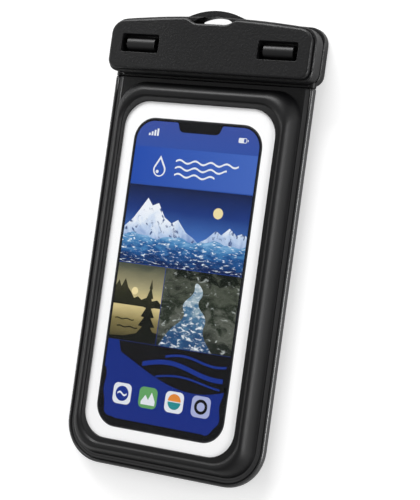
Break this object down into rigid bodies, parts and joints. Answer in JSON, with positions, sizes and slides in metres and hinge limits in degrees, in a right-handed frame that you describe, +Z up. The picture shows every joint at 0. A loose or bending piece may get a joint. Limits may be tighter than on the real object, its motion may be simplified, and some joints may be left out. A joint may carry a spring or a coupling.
{
  "type": "waterproof phone case",
  "caption": "Flat waterproof phone pouch with a clear window, an air cushion round it and a snap clamp with a lanyard loop across its mouth.",
  "frame": {"origin": "middle of the bounding box, on the surface that the case lies on", "axes": "+X to the right across the pouch, +Y along its length towards the lanyard loop, +Z up out of the window"},
  "size_m": [0.1108, 0.2212, 0.0169],
  "materials": {
    "pouch_black": "satin, fine grain",
    "clear_film": "clear and glossy",
    "card_print": "printed card",
    "clamp_black": "fine moulded grain",
    "seal_rubber": "soft matte",
    "pin_steel": "plain turned"
  },
  "bodies": {
    "case": {"front_frame": "pouch_black", "front_window": "clear_film", "insert_card": "card_print", "back_frame": "pouch_black", "back_window": "clear_film", "front_mouth_strip": "pouch_black", "back_mouth_strip": "pouch_black", "clamp_cover": "clamp_black", "clamp_middle": "clamp_black", "clamp_back": "clamp_black", "seal_front": "seal_rubber", "seal_back": "seal_rubber", "latch_link_left": "clamp_black", "latch_link_right": "clamp_black", "link_pin_left": "pin_steel", "link_pin_right": "pin_steel", "lever_pin_left": "pin_steel", "lever_pin_right": "pin_steel"},
    "lever_left": {"latch_lever_left": "clamp_black"},
    "lever_right": {"latch_lever_right": "clamp_black"}
  },
  "joints": [
    {"name": "left_lever_turn", "type": "hinge", "parent": "case", "child": "lever_left", "pos_m": [-0.0372, 0.0923, 0.00235], "axis": [-1, 0, 0], "range_deg": [0, 90]},
    {"name": "right_lever_turn", "type": "hinge", "parent": "case", "child": "lever_right", "pos_m": [0.0372, 0.0923, 0.00235], "axis": [-1, 0, 0], "range_deg": [0, 90]}
  ]
}
